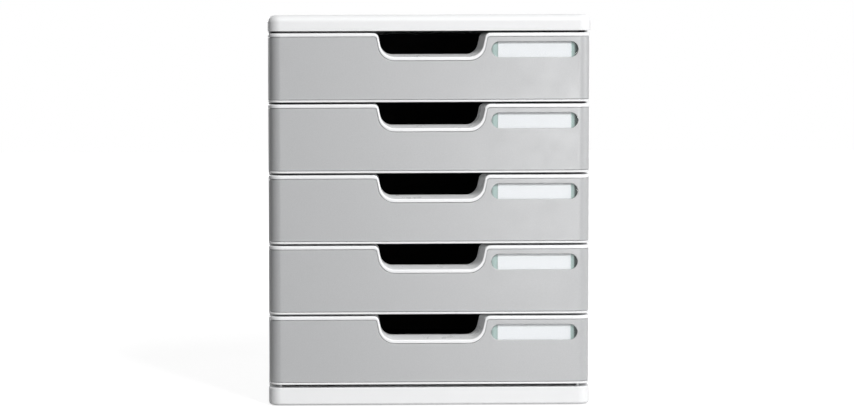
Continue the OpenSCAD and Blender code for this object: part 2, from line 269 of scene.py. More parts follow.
def mitred_normals(outline):
    """Outward normals of an anticlockwise polygon, long enough to keep its sides parallel when inset."""
    side = np.roll(outline, -1, 0) - outline
    out = np.stack([side[:, 1], -side[:, 0]], -1)
    out /= np.linalg.norm(out, axis=1, keepdims=True)
    both = out + np.roll(out, 1, 0)
    return 2 * both / (both ** 2).sum(1, keepdims=True)


def mirrored(left):
    """Plan points or directions of the left side, turned to the right side and run backwards."""
    return left[::-1] * [-1, 1]


def between(low, high, edge):
    """Profile from low to high that draws in by a quarter circle at both ends."""
    e = rounding(edge)
    start = np.stack([e[:, 0], low + edge - e[:, 1]], -1)
    end = np.stack([e[::-1, 0], high - edge + e[::-1, 1]], -1)
    return np.concatenate([start, end])


def block(low, high, edge=0.3 * MM):
    """Rings of a bar with rounded edges and corners, between two opposite corners."""
    low, high = np.minimum(low, high), np.maximum(low, high)
    half, middle = (high - low) / 2, (high + low) / 2
    corner = 1.2 * edge  # larger than the edge, so that a corner keeps a radius when it is inset
    outline, normals = rounded_outline(half[0], half[1], corner, FINE_ARC, middle[:2])
    return carried(outline, normals, between(low[2], high[2], edge))


def turned(profile, centre, steps=64):
    """Rings of a turned shape: (radius, z) pairs carried round a vertical axis."""
    profile = np.asarray(profile)
    a = np.linspace(0, 2 * math.pi, steps, endpoint=False)
    rings = np.empty((len(profile), steps, 3))
    rings[..., :2] = profile[:, 0, None, None] * np.stack([np.cos(a), np.sin(a)], -1)[None] + centre
    rings[..., 2] = profile[:, 1, None]
    return rings


def dressed(piece, body, slot, *nodes):
    """Gives a piece the finish of its material slot, the body it rides on and the nodes it stands for."""
    piece.data.materials.append(finish(slot))
    flat = piece.modifiers.new("Flat faces stay flat", "WEIGHTED_NORMAL")
    flat.keep_sharp = True
    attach(piece, body)
    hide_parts(*nodes)
    return piece


# ---- Finishes ----


def ranged(tree, source, low, high, start=0.0, end=1.0):
    """Maps start to end onto low to high."""
    node = tree.nodes.new("ShaderNodeMapRange")
    node.inputs["From Min"].default_value = start
    node.inputs["From Max"].default_value = end
    node.inputs["To Min"].default_value = low
    node.inputs["To Max"].default_value = high
    tree.links.new(source, node.inputs["Value"])
    return node.outputs["Result"]


def joined(tree, operation, first, second):
    """Two sockets through one maths node."""
    node = tree.nodes.new("ShaderNodeMath")
    node.operation = operation
    tree.links.new(first, node.inputs[0])
    tree.links.new(second, node.inputs[1])
    return node.outputs[0]


class Finish:
    """A node material around one Principled shader, with small helpers for its patterns."""

    def __init__(self, name, colour, roughness, specular=0.5):
        self.material = bpy.data.materials.new(name)
        self.material.use_nodes = True
        self.tree = self.material.node_tree
        self.shader = self.tree.nodes["Principled BSDF"]
        self.shader.inputs["Base Color"].default_value = (*colour, 1)
        self.shader.inputs["Roughness"].default_value = roughness
        self.shader.inputs["Specular IOR Level"].default_value = specular
        self.place = self.tree.nodes.new("ShaderNodeTexCoord").outputs["Object"]

    def node(self, kind, **values):
        """A node with the given properties."""
        node = self.tree.nodes.new(kind)
        for key, value in values.items():
            setattr(node, key, value)
        return node

    def link(self, out, into):
        """Joins an output to an input."""
        self.tree.links.new(out, into)

    def noise(self, scale, detail=2.0, roughness=0.5):
        """Noise on the piece's own coordinates; scale is in features per metre."""
        node = self.node("ShaderNodeTexNoise")
        node.inputs["Scale"].default_value = scale
        node.inputs["Detail"].default_value = detail
        node.inputs["Roughness"].default_value = roughness
        self.link(self.place, node.inputs["Vector"])
        return node.outputs["Fac"]

    def spread(self, source, low, high, source_low=0.3, source_high=0.7):
        """Maps a pattern onto a range of values; noise keeps mostly between 0.3 and 0.7."""
        return ranged(self.tree, source, low, high, source_low, source_high)

    def tinted(self, source, first, second):
        """Base colour that a pattern moves between two colours."""
        node = self.node("ShaderNodeMix", data_type="RGBA")
        node.inputs[6].default_value = (*first, 1)
        node.inputs[7].default_value = (*second, 1)
        self.link(self.spread(source, 0, 1), node.inputs["Factor"])
        self.link(node.outputs[2], self.shader.inputs["Base Color"])

    def bumps(self, *layers):
        """Bump layers of (pattern, height in metres), one over the other."""
        normal = None
        for source, height in layers:
            node = self.node("ShaderNodeBump")
            node.inputs["Strength"].default_value = 1
            node.inputs["Distance"].default_value = height
            self.link(source, node.inputs["Height"])
            if normal is not None:
                self.link(normal, node.inputs["Normal"])
            normal = node.outputs["Normal"]
        self.link(normal, self.shader.inputs["Normal"])


def shaded(colour, factor):
    """A colour made darker or lighter."""
    return tuple(min(1.0, c * factor) for c in colour)


WAVE_SCALE = 38  # long waves of a moulded skin, in features per metre
POLISH_SCALE = 60  # patches of more and less polish, in features per metre
POLISH_SPREAD = 0.05  # how far the roughness moves either way
MOTTLE_SCALE = 0.45  # features of the mottle for each of the grain


def moulded(name, colour, roughness, grain, grain_height, wave_height, mottle, specular):
    """Moulded skin: a fine grain, long shallow waves, patches of more polish, and a faint mottle."""
    made = Finish(name, colour, roughness, specular)
    fine = made.noise(grain, detail=3, roughness=0.6)
    wave = made.noise(WAVE_SCALE)
    clouds = made.noise(grain * MOTTLE_SCALE, detail=4, roughness=0.7)
    made.tinted(clouds, shaded(colour, 1 - mottle), shaded(colour, 1 + mottle))
    patches = made.noise(POLISH_SCALE, detail=5, roughness=0.65)
    polish = made.spread(patches, roughness - POLISH_SPREAD, roughness + POLISH_SPREAD)
    made.link(polish, made.shader.inputs["Roughness"])
    made.bumps((wave, wave_height), (fine, grain_height))
    return made.material


STRAIGHT_GLOSS = 0.04  # share of the light that clear plastic reflects when seen straight on
GLOSS_GROWTH = 5  # power with which that share grows to 1 at a grazing view


def clear_plastic(name, colour, end_shade_colour, roughness):
    """Clear plastic: what lies behind shows through the tint, under a gloss that grows at the edges.

    Beyond the card the tint turns deeper at both ends. This is painted shade of the recess behind the
    window, with a painted shadow line at the card's left edge and a dark painted shadow at the right end,
    where the slot's edge shades the recess.
    """
    made = Finish(name, colour, roughness)
    through = made.node("ShaderNodeBsdfTransparent")
    low, high = drawer_box(1, "label_window")
    card_low, card_high = drawer_box(1, "label_card")
    across = made.node("ShaderNodeSeparateXYZ")
    made.link(made.place, across.inputs["Vector"])
    ramp = made.node("ShaderNodeValToRGB")
    made.link(made.spread(across.outputs["X"], 0, 1, low[0], high[0]), ramp.inputs["Fac"])
    width = high[0] - low[0]
    left, right = (card_low[0] - low[0]) / width, (card_high[0] - low[0]) / width
    # place along the window, and brightness of the ends' painted shade there, or None for the clear tint
    # over the card
    shade_stops = [(0, 0.86), (0.03, 1), (left - 0.012, 1), (left - 0.004, 0.9), (left + 0.004, None),
             (right - 0.004, None), (right + 0.002, 0.97), (right + 0.034, 0.95), (right + 0.044, 0.6),
             (0.99, 0.66)]
    points = ramp.color_ramp.elements
    points.remove(points[1])
    for place, factor in shade_stops:
        point = points.new(place) if place else points[0]
        point.color = (*(colour if factor is None else shaded(end_shade_colour, factor)), 1)
    made.link(ramp.outputs["Color"], through.inputs["Color"])
    gloss = made.node("ShaderNodeBsdfGlossy")
    gloss.inputs["Roughness"].default_value = roughness
    facing = made.node("ShaderNodeLayerWeight")
    facing.inputs["Blend"].default_value = 0.5
    power = made.node("ShaderNodeMath", operation="POWER")
    power.inputs[1].default_value = GLOSS_GROWTH
    made.link(facing.outputs["Facing"], power.inputs[0])
    mix = made.node("ShaderNodeMixShader")
    made.link(made.spread(power.outputs["Value"], STRAIGHT_GLOSS, 1, 0, 1), mix.inputs["Fac"])
    made.link(through.outputs["BSDF"], mix.inputs[1])
    made.link(gloss.outputs["BSDF"], mix.inputs[2])
    made.link(mix.outputs["Shader"], made.tree.nodes["Material Output"].inputs["Surface"])
    return made.material


WINDOW_ROUGH = 0.06

# Setting of the colour, roughness or None where a setting gives it too, grain in features per metre,
# heights of the grain and of the waves in metres, mottle, specular level
SKINS = {
    "casing_white": ("casing", None, 2600, 6e-6, 5e-5, 0.012, 0.5),
    "frame_white": ("frame", None, 1500, 2e-6, 4e-5, 0.006, 0.5),
    "panel_grey": ("panel", None, 2300, 1.6e-5, 3e-5, 0.06, 1),
    "tray_black": ("tray", None, 1800, 1.2e-5, 4e-5, 0.1, 0.4),
    "card_paper": ("card", 0.85, 3200, 1.2e-5, 6e-5, 0.02, 0.2),
    "foot_rubber": ("foot", 0.7, 1600, 2e-5, 6e-5, 0.15, 0.3),
}
_finishes = {}


def finish(name):
    """The finish of one material slot, made once."""
    look = bpy.context.scene.cabinet_finishes
    if name not in _finishes and name in SKINS:
        setting, roughness, *skin = SKINS[name]
        if roughness is None:
            roughness = getattr(look, f"{setting}_rough")
        _finishes[name] = moulded(name, getattr(look, setting), roughness, *skin)
    elif name not in _finishes:
        # the windows' ends carry painted shade of the recess behind them
        _finishes[name] = clear_plastic(name, look.window, look.window_end, WINDOW_ROUGH)
    return _finishes[name]


# ---- Casing ----


def cover_shell(sizes):
    """Top cover: a rounded rectangle carried over the top edge, down the skirt and back up inside."""
    low, high = COVER_LOW, COVER_HIGH
    edge, wall, skirt_edge = sizes.cover_edge, sizes.wall, 0.4 * MM
    outline, normals = rounded_outline(high[0], high[1], sizes.corner)
    over, inside, skirt = rounding(edge, 12), rounding(edge - wall, 8), rounding(skirt_edge)
    profile = [[i, high[2] - edge + r] for i, r in over]
    profile += [[i, low[2] + skirt_edge - r] for i, r in skirt[::-1]]
    profile += [[wall - i, low[2] + skirt_edge - r] for i, r in skirt]
    profile += [[wall + i, high[2] - edge + r] for i, r in inside[::-1]]
    return Shape().loft(carried(outline, normals, profile))


FOOT_RADIUS = 8 * MM


def foot_centres():
    """Centres of the four feet."""
    x, y = FEET_HIGH[0] - FOOT_RADIUS, FEET_HIGH[1] - FOOT_RADIUS
    return [(sx * x, sy * y) for sx in (-1, 1) for sy in (-1, 1)]


def plinth_shell(sizes):
    """Plinth: a rounded rectangle carried round the top edge, the side, the bottom edge and back inside.

    The bosses round the feet are turned rings, and the two nubs under the lowest front are small bars.
    """
    low, top = PLINTH_LOW[2], PLINTH_TOP
    upper, lower, wall = sizes.plinth_top_edge, sizes.plinth_edge, sizes.wall
    outline, normals = rounded_outline(PLINTH_HIGH[0], PLINTH_HIGH[1], sizes.corner)
    fillet, mouth = 2 * MM, 0.1 * MM
    profile = [[i, top - upper + r] for i, r in rounding(upper, 5)]
    profile += [[i, low + lower - r] for i, r in rounding(lower, 6)[::-1]]
    profile += [[wall, low + mouth]]
    profile += [[wall + i, top - wall - fillet + r] for i, r in rounding(fillet)[::-1]]
    shape = Shape().loft(carried(outline, normals, profile))
    seat_gap, boss_reach, chamfer = 0.1 * MM, 2.6 * MM, 0.3 * MM
    hole, boss = FOOT_RADIUS + seat_gap, FOOT_RADIUS + boss_reach
    ring = [(boss, top - wall + chamfer), (boss, low + chamfer), (boss - chamfer, low),
            (hole + chamfer, low), (hole, low + chamfer), (hole, FEET_HIGH[2])]
    for centre in foot_centres():
        shape.loft(turned(ring, centre))
    nub_half, nub_front, nub_back = 0.9 * MM, 7 * MM, 16 * MM
    nub_inset, nub_edge, face = 10.5 * MM, 0.4 * MM, PLINTH_LOW[1]
    for side in (-1, 1):
        x = side * (PLINTH_HIGH[0] - nub_inset)
        shape.loft(block((x - nub_half, face + nub_front, top - BITE),
                         (x + nub_half, face + nub_back, PLINTH_HIGH[2]), nub_edge))
    return shape


def rubber_feet():
    """Four discs: a quarter circle round the lower edge, carried round each foot's axis."""
    edge = 0.8 * MM
    profile = [(FOOT_RADIUS - i, FEET_LOW[2] + edge - r) for i, r in rounding(edge, 4)]
    profile += [(FOOT_RADIUS, FEET_HIGH[2])]
    shape = Shape()
    for centre in foot_centres():
        shape.loft(turned(profile, centre))
    return shape


RIB_W = 7.4 * MM
RIB_T = 2.4 * MM
FLANGE_Z = 40 * MM  # the tray flange's underside above the front's bottom edge
FLANGE_T = 2.4 * MM
FLANGE_W = 6.2 * MM  # how far the flange stands out from the tray
FLANGE_KEPT = 65 * MM  # length of flange from the stop bump's front to the flange's rear end
RUN_GAP = 0.3 * MM
STOP_H = 1.6 * MM
STOP_L = 6 * MM
STOP_SETBACK = 2 * MM  # from the ribs' front ends to the stop nub
POST = 2 * MM  # width and depth of the post that the ribs end at
TONGUE_T = 2.2 * MM
TONGUE_HALF = 20 * MM  # half a tongue's length
TONGUE_ROOT = 7 * MM  # how far a tongue runs along the wall
TONGUE_INSET = 1.9 * MM  # from the wall's outer face
TONGUE_END = 60 * MM  # from the cover's ends to the outer tongues' middles


def side_wall(side, sizes):
    """Side wall, all of rounded bars: the wall, a post, six tongues, and four bars for each drawer's run."""
    shape, flip = Shape(), np.array([side, 1, 1])

    def bar(low, high, edge=0.35 * MM):
        """Adds a bar of the right wall, turned over for the left one."""
        shape.loft(block(np.array(low) * flip, np.array(high) * flip, edge))

    rib_in, front, rear = SIDE_LOW[0], SIDE_LOW[1], SIDE_HIGH[1]
    wall_in, rib_rear = rib_in + RIB_W, BACK_LOW[1] - POST
    root, stop = wall_in + BITE, front + STOP_SETBACK
    bar((wall_in, front, PLINTH_TOP), (SIDE_HIGH[0], rear, COVER_LOW[2]), WALL_EDGE)
    bar((wall_in - POST, rib_rear, PLINTH_TOP), (root, BACK_LOW[1], COVER_LOW[2]))
    tongue_out, tongue_y = SIDE_HIGH[0] - TONGUE_INSET, COVER_HIGH[1] - TONGUE_END
    for y in (-tongue_y, 0, tongue_y):
        for z in ((SIDE_LOW[2], PLINTH_TOP + TONGUE_ROOT), (COVER_LOW[2] - TONGUE_ROOT, SIDE_HIGH[2])):
            bar((tongue_out - TONGUE_T, y - TONGUE_HALF, z[0]), (tongue_out, y + TONGUE_HALF, z[1]))
    for k in DRAWERS:
        base = drawer_box(k, "front_frame")[0][2] + FLANGE_Z - RUN_GAP
        roof = base + FLANGE_T + STOP_H + 3 * RUN_GAP
        end = drawer_box(k, "tray")[1][1] - sizes.tray_corner + RUN_GAP
        bar((rib_in, front, base - RIB_T), (root, rib_rear, base))  # lower rib
        bar((rib_in, front, roof), (root, rib_rear, roof + RIB_T))  # upper rib
        bar((rib_in, stop, roof - STOP_H), (root, stop + STOP_L, roof + BITE))  # stop nub
        bar((rib_in, end, base - BITE), (root, rib_rear, roof + BITE))  # end of the run
    return shape


def rear_wall():
    """Rear wall: one thin bar with rounded edges."""
    return Shape().loft(block(BACK_LOW, BACK_HIGH, WALL_EDGE))


# ---- Drawer ----


def notch_path(sizes):
    """Top edge of a front across its notch, from left to right, in x and drop below the top edge.

    A convex arc about a centre in the front, the leaning side, a concave arc about a centre in the
    opening, the flat bottom, and the same mirrored. Returns the points, the unit directions that point
    out of the front, and from 0 to 1 how much of the notch's lip each point has.
    """
    lean, top_r, low_r = sizes.notch_lean, sizes.notch_top_r, sizes.notch_bottom_r
    upper = np.array([-sizes.notch_half - top_r * (1 - math.sin(lean)) / math.cos(lean), -top_r])
    lower_z = low_r - sizes.notch_depth
    lower = np.array([-sizes.notch_half - (lower_z * math.sin(lean) - low_r) / math.cos(lean), lower_z])
    turn = np.linspace(math.pi / 2, lean, ARC + 1)
    out = np.stack([np.cos(turn), np.sin(turn)], -1)
    left = np.concatenate([upper + top_r * out, lower - low_r * out[::-1]])
    out = np.concatenate([out, out[::-1]])
    ease = np.linspace(0, 1, ARC + 1)
    lip = np.concatenate([ease * ease * (3 - 2 * ease), np.ones(ARC + 1)])
    points = np.concatenate([left, mirrored(left)]) + [sizes.notch_x, 0]
    return points, np.concatenate([out, mirrored(out)]), np.concatenate([lip, lip[::-1]])


class FrontColumns:
    """Columns of a drawer front, from the left end's rear round both corners to the right end's rear.

    Each has a place on the face in plan and the outward normal there, and for the top edge a drop below
    the top, the direction out of the material, and the width of the white rim: rim_side where the notch's
    sides lean, growing to rim_top where the edge is level.
    """

    def __init__(self, sizes, low, high, side_y, extra_x=()):
        radius, half, face = sizes.corner, high[0], low[1]
        side_y = [*side_y, face + radius + 1 * MM]  # the last column just behind the round corner
        turn = np.linspace(0, math.pi / 2, ARC + 1)
        corner = np.stack([-np.cos(turn), -np.sin(turn)], -1)
        sides = np.stack([np.full(len(side_y), -half), side_y], -1)
        left = np.concatenate([sides, [radius - half, face + radius] + radius * corner])
        left_out = np.concatenate([np.tile([-1.0, 0.0], (len(side_y), 1)), corner])
        points, out, lip = notch_path(sizes)
        extra = np.stack([extra_x, np.zeros(len(extra_x))], -1)
        points = np.concatenate([points, extra])
        out = np.concatenate([out, np.tile([0.0, 1.0], (len(extra), 1))])
        ends, count = len(left), len(points)
        straight = np.stack([points[:, 0], np.full(count, face)], -1)
        none, up = np.zeros(ends), np.tile([0.0, 1.0], (ends, 1))
        self.plan = np.concatenate([left, straight, mirrored(left)])
        self.normal = np.concatenate([left_out, np.tile([0.0, -1.0], (count, 1)), mirrored(left_out)])
        self.drop = np.concatenate([none, points[:, 1], none])
        self.out = np.concatenate([up, out, up])
        self.lip = np.concatenate([none, lip, np.zeros(len(extra)), none])
        self.ends, self.count = ends, len(self.plan)
        upright = math.sin(sizes.notch_lean)
        growth = (sizes.rim_top - sizes.rim_side) * (self.out[:, 1] - upright) / (1 - upright)
        self.rim = sizes.rim_side + growth
        self.top, self.half, self.corner = high[2], half, radius

    def at(self, grow, depth, z=None):
        """Points that lie grow below the front's top edge, or at height z, and depth behind its face."""
        grow, depth = np.broadcast_to(grow, self.count), np.broadcast_to(depth, self.count)
        p = np.empty((self.count, 3))
        p[:, :2] = self.plan - depth[:, None] * self.normal
        if z is None:
            p[:, 0] -= grow * self.out[:, 0]
            p[:, 2] = self.top + self.drop - grow * self.out[:, 1]
        else:
            p[:, 2] = z
        return p

    def across_rear(self, points, rear_y, inset):
        """Moves the points of both ends onto a straight line across the rear, inset from its ends."""
        fan = np.linspace(inset - self.half, self.corner - self.half, self.ends)
        points[:self.ends, 0], points[-self.ends:, 0] = fan, -fan[::-1]
        points[:self.ends, 1] = points[-self.ends:, 1] = rear_y
        return points


LIP_END = 2 * MM  # how far before the frame's rear the lip ends, at the tray's front wall
SEAT_WALL = 1 * MM  # wall behind the panel's seat


def front_frame(k, sizes):
    """White front frame: one closed tube whose section is carried along the top edge, notch and corners.

    A section runs from the rear over the top, or over the notch's flared lip, round the rim, down the
    panel's seat, round the bottom rim, back along the underside and home inside the hollow.
    """
    low, high = drawer_box(k, "front_frame")
    rear_y, wrap_y = high[1], low[1] + sizes.panel_wrap
    cols = FrontColumns(sizes, low, high, [rear_y, wrap_y, wrap_y])
    depth = rear_y - low[1]
    lip_short = LIP_END * cols.lip
    flare, drift = (part / (depth - LIP_END) * cols.lip for part in (sizes.flare, sizes.drift))
    skin = sizes.panel_recess + sizes.panel_thick + sizes.frame_wall
    seat = np.full(cols.count, skin - SEAT_WALL)
    seat[:2] = seat[-2:] = 0  # no seat behind the panel's wrap
    recess = np.sign(seat)
    inner = sizes.frame_wall * (1 - cols.lip) + sizes.lip_wall * cols.lip
    # near: from the face to the first straight row, and from the sides to the rear row's ends
    near, crease, lower_edge = 1.6 * MM, 0.25 * MM, 0.7 * MM
    rim, low_rim, floor = cols.rim, sizes.rim_bottom, low[2]

    def over(grow, back):
        """Points near the top edge, where the lip narrows the notch and drifts to the left."""
        points = cols.at(grow - flare * back, back)
        points[:, 0] -= drift * back
        return points

    rows = [cols.across_rear(over(0, depth - lip_short), rear_y, near), over(0, near)]
    rows += [over(sizes.rim_round - r, i) for i, r in rounding(sizes.rim_round, 4)]
    rows += [cols.at(rim - i, (crease - r) * recess) for i, r in rounding(crease, 2)]
    rows += [cols.at(rim, seat), cols.at(0, seat, floor + low_rim)]
    rows += [cols.at(0, (crease - r) * recess, floor + low_rim - i) for i, r in rounding(crease, 2)[::-1]]
    rows += [cols.at(0, i, floor + lower_edge - r) for i, r in rounding(lower_edge)[::-1]]
    rows += [cols.at(0, near, floor)]
    rows += [cols.across_rear(cols.at(0, depth, floor), rear_y, near)]
    rows += [cols.across_rear(cols.at(0, depth, floor + sizes.frame_wall), rear_y, skin)]
    rows += [cols.at(0, skin, floor + sizes.frame_wall), over(inner, skin)]
    rows += [cols.across_rear(over(inner, depth - lip_short), rear_y, skin)]
    grid = np.array(rows)
    row_starts = np.arange(len(grid)) * cols.count
    ends = [row_starts, row_starts + cols.count - 1]
    return Shape().add(grid, grid_faces(*grid.shape[:2], wrap_rows=True), ends)


def label_centre(k):
    """Middle of the label slot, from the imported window's box."""
    low, high = drawer_box(k, "label_window")
    return (low[0] + high[0]) / 2, (low[2] + high[2]) / 2


def front_panel(k, sizes):
    """Grey panel: a grid of upright columns between the notch's outline and the bottom rim.

    Two middle rows part round the label slot, by sqrt(r^2 - x^2) at its round ends, and lie together
    elsewhere, and the band between them is left out. Solidify gives the sheet its wall.
    """
    low, high = drawer_box(k, "front_frame")
    centre_x, centre_z = label_centre(k)
    radius, end_columns, touching = sizes.label_h / 2, 16, 1e-7
    straight = sizes.label_w / 2 - radius
    swing = radius * np.sin(np.linspace(0, math.pi / 2, end_columns))
    extra = np.concatenate([centre_x - straight - swing[::-1], centre_x + straight + swing])
    cols = FrontColumns(sizes, low, high, [low[1] + sizes.panel_wrap], extra)
    top = cols.at(cols.rim + sizes.panel_gap, sizes.panel_recess)
    bottom_z = low[2] + sizes.rim_bottom + sizes.panel_gap
    beyond = np.maximum(np.abs(top[:, 0] - centre_x) - straight, 0)
    opening = np.sqrt(np.maximum(radius ** 2 - beyond ** 2, 0))
    opening[cols.plan[:, 1] > low[1] + touching] = 0
    rows = [top, top.copy(), top.copy(), top.copy()]
    middle = bottom_z + (top[:, 2] - bottom_z) * (centre_z - bottom_z) / (top[0, 2] - bottom_z)
    rows[1][:, 2], rows[2][:, 2], rows[3][:, 2] = middle + opening, middle - opening, bottom_z
    upper, lower = np.array(rows[:2]), np.array(rows[2:])
    quads = grid_faces(2, cols.count)
    return Shape().add(upper, quads).add(lower, quads)


def label_window(k, sizes):
    """Clear window: a stadium carried over a rounded edge, then widened to the flange behind the panel."""
    low, high = drawer_box(k, "label_window")
    centre, steps = label_centre(k), 12
    gap, edge, flange_t = 0.15 * MM, 0.45 * MM, 0.8 * MM
    half_w, half_h = sizes.label_w / 2 - gap, sizes.label_h / 2 - gap
    outline, normals = rounded_outline(half_w, half_h, half_h, steps, centre)
    flange_h = (high[2] - low[2]) / 2
    flange = rounded_outline(sizes.label_w / 2, flange_h, flange_h, steps, centre)[0]
    flange_y = high[1] - flange_t
    profile = [[i, low[1] + edge - r] for i, r in rounding(edge, 4)] + [[0, flange_y]]
    raised = carried(outline, normals, profile, "xzy")
    behind = carried(flange, normals, [[0, flange_y], [0, high[1]]], "xzy")
    return Shape().loft(np.concatenate([raised, behind]))


def label_card(k):
    """Blank card: a thin sheet with cut edges."""
    cut_edge = 0.06 * MM
    return Shape().loft(block(*drawer_box(k, "label_card"), cut_edge))


FRONT_LAP = 0.4 * MM  # how far the tray's sides and flanges run into its front wall


def tray(k, sizes):
    """Black tray: a section carried round three sides, and a front wall with the notch cut out.

    The section runs round the bottom edge, up the outside, over the rim, down the inside and round the
    inner fillet to the floor. The flanges and stop bumps along the sides are rounded bars.
    """
    low, high = drawer_box(k, "tray")
    half, wall, corner = SIDE_LOW[0] - 2 * RUN_GAP, sizes.tray_wall, sizes.tray_corner
    wall_rear, wall_front = drawer_box(k, "front_frame")[1][1], low[1]
    top, floor, base = low[2] + sizes.tray_h, low[2] + wall, low[2]
    turn = np.linspace(math.pi, math.pi / 2, ARC + 1)
    arc = np.stack([np.cos(turn), np.sin(turn)], -1)
    side_front = wall_rear - FRONT_LAP
    left = np.concatenate([[[-half, side_front]], [corner - half, high[1] - corner] + corner * arc])
    left_out = np.concatenate([[[-1.0, 0.0]], arc])
    path = np.concatenate([left, mirrored(left)])
    out = np.concatenate([left_out, mirrored(left_out)])
    outer, inside, edge = 2 * MM, 3 * MM, 0.7 * MM
    profile = [[i, base + outer - r] for i, r in rounding(outer, 5)]
    profile += [[i, top - edge + r] for i, r in rounding(edge)[::-1]]
    profile += [[wall - i, top - edge + r] for i, r in rounding(edge)]
    profile += [[wall + i, floor + inside - r] for i, r in rounding(inside, 6)[::-1]]
    grid = carried(path, out, profile)
    rows, cols = grid.shape[:2]
    starts = np.arange(rows) * cols
    section = np.concatenate([starts, starts[::-1] + cols - 1])
    ends = [np.arange(cols), starts[-1] + np.arange(cols), section]
    shape = Shape().add(grid, grid_faces(rows, cols), ends)
    shape.loft(tray_front(k, sizes, wall_front, wall_rear))
    flange_z, flange_end = drawer_box(k, "front_frame")[0][2] + FLANGE_Z, high[1] - corner
    bump = flange_end - FLANGE_KEPT
    for side in (-1, 1):
        for y0, y1, rise in ((side_front, flange_end, 0), (bump, bump + STOP_L, STOP_H)):
            shape.loft(block((side * (half - BITE), y0, flange_z),
                             (side * (half + FLANGE_W), y1, flange_z + FLANGE_T + rise)))
    return shape


def tray_front(k, sizes, front_y, rear_y):
    """Rings of the tray's front wall: a rectangle with the notch cut from its top, and rounded edges."""
    high = drawer_box(k, "tray")[1]
    frame_low, frame_high = drawer_box(k, "front_frame")
    top_z, edge = frame_high[2], 0.4 * MM
    points, out, lip = notch_path(sizes)
    notch = (points + sizes.flare * out - [sizes.drift, 0])[lip >= 1][::-1]
    notch[[0, -1], 1] = high[2] - top_z
    notch[:, 1] += top_z
    half, bottom = high[0], frame_low[2] + (top_z - high[2])
    outline = np.concatenate([[[-half, bottom], [half, bottom], [half, high[2]]], notch, [[-half, high[2]]]])
    return carried(outline, mitred_normals(outline), between(front_y, rear_y, edge), "xzy")


# ---- Operators ----


class CABINET_OT_cover(bpy.types.Operator):
    """Builds the top cover."""

    bl_idname = "cabinet.cover"
    bl_label = "Top cover"

    def execute(self, context):
        piece = cover_shell(context.scene.cabinet_sizes).build("cover_shell")
        dressed(piece, "casing", "casing_white", "top_cover")
        return {"FINISHED"}


class CABINET_OT_plinth(bpy.types.Operator):
    """Builds the plinth and its four rubber feet."""

    bl_idname = "cabinet.plinth"
    bl_label = "Plinth and feet"

    def execute(self, context):
        piece = plinth_shell(context.scene.cabinet_sizes).build("plinth_shell")
        dressed(piece, "casing", "casing_white", "base")
        piece = rubber_feet().build("rubber_feet")
        dressed(piece, "casing", "foot_rubber", "feet")
        return {"FINISHED"}


class CABINET_OT_walls(bpy.types.Operator):
    """Builds the side walls with their runner channels, and the rear wall."""

    bl_idname = "cabinet.walls"
    bl_label = "Walls"

    def execute(self, context):
        for name, side in (("left", -1), ("right", 1)):
            piece = side_wall(side, context.scene.cabinet_sizes).build(f"{name}_wall")
            dressed(piece, "casing", "casing_white", f"{name}_side_panel")
        piece = rear_wall().build("rear_wall")
        dressed(piece, "casing", "casing_white", "back_panel")
        return {"FINISHED"}


class CABINET_OT_trays(bpy.types.Operator):
    """Builds the five drawer trays."""

    bl_idname = "cabinet.trays"
    bl_label = "Drawer trays"

    def execute(self, context):
        for k in DRAWERS:
            piece = tray(k, context.scene.cabinet_sizes).build(f"tray_{k}")
            dressed(piece, f"drawer_{k}", "tray_black", f"drawer_{k}_tray")
        return {"FINISHED"}


class CABINET_OT_frames(bpy.types.Operator):
    """Builds the white front frames."""

    bl_idname = "cabinet.frames"
    bl_label = "Front frames"

    def execute(self, context):
        for k in DRAWERS:
            piece = front_frame(k, context.scene.cabinet_sizes).build(f"front_frame_{k}")
            dressed(piece, f"drawer_{k}", "frame_white", f"drawer_{k}_front_frame")
        return {"FINISHED"}


PANEL_EDGE = 0.55 * MM  # rounding of the grey panel's edges
PANEL_ANGLE = math.radians(40)  # edges sharper than this are rounded


class CABINET_OT_panels(bpy.types.Operator):
    """Builds the grey front panels."""

    bl_idname = "cabinet.panels"
    bl_label = "Front panels"

    def execute(self, context):
        sizes = context.scene.cabinet_sizes
        for k in DRAWERS:
            piece = front_panel(k, sizes).build(f"front_panel_{k}", open_towards=(0, -1, 0))
            wall = piece.modifiers.new("Wall", "SOLIDIFY")
            wall.thickness, wall.offset, wall.use_even_offset = sizes.panel_thick, -1, True
            edge = piece.modifiers.new("Rounded edges", "BEVEL")
            edge.limit_method, edge.angle_limit = "ANGLE", PANEL_ANGLE
            edge.width, edge.segments, edge.use_clamp_overlap = PANEL_EDGE, FINE_ARC, False
            dressed(piece, f"drawer_{k}", "panel_grey", f"drawer_{k}_front_panel")
        return {"FINISHED"}


class CABINET_OT_labels(bpy.types.Operator):
    """Builds the clear label windows and their blank cards."""

    bl_idname = "cabinet.labels"
    bl_label = "Labels"

    def execute(self, context):
        for k in DRAWERS:
            piece = label_window(k, context.scene.cabinet_sizes).build(f"label_window_{k}")
            dressed(piece, f"drawer_{k}", "window_clear", f"drawer_{k}_label_window")
            piece = label_card(k).build(f"label_card_{k}")
            dressed(piece, f"drawer_{k}", "card_paper", f"drawer_{k}_label_card")
        return {"FINISHED"}


# Place of each lamp in metres and its size; its power is the setting of the same name
LAMPS = {
    "key": ((1.9, -3.3, 3.4), 1.3),
    "side": ((0.6, -2.4, 0.14), 0.25),
    "fill": ((-1.0, -1.6, 0.5), 1.1),
    "right": ((2.9, -0.7, 0.9), 1.2),
    "rear": ((-1.6, 2.8, 0.95), 1.0),
}
LAMP_AIM = Vector((0, -0.15, 0.18))
DIM_SIDE = 0.15  # how bright a gloss shows the left of the studio
DIM_RANGE = (-0.12, 0.08)  # from the left to the right, where it grows to 1
FLOOR_REACH = 4.0
FLOOR_FADE = (0.3, 0.9)  # distances between which the floor's two values change, in metres
FLOOR_TONE = (0.42, 0.2)  # how much light the floor gives back, near the cabinet and far from it
FLOOR_GLOW = (0.8, 1)  # how white it shows by itself, near the cabinet and far from it


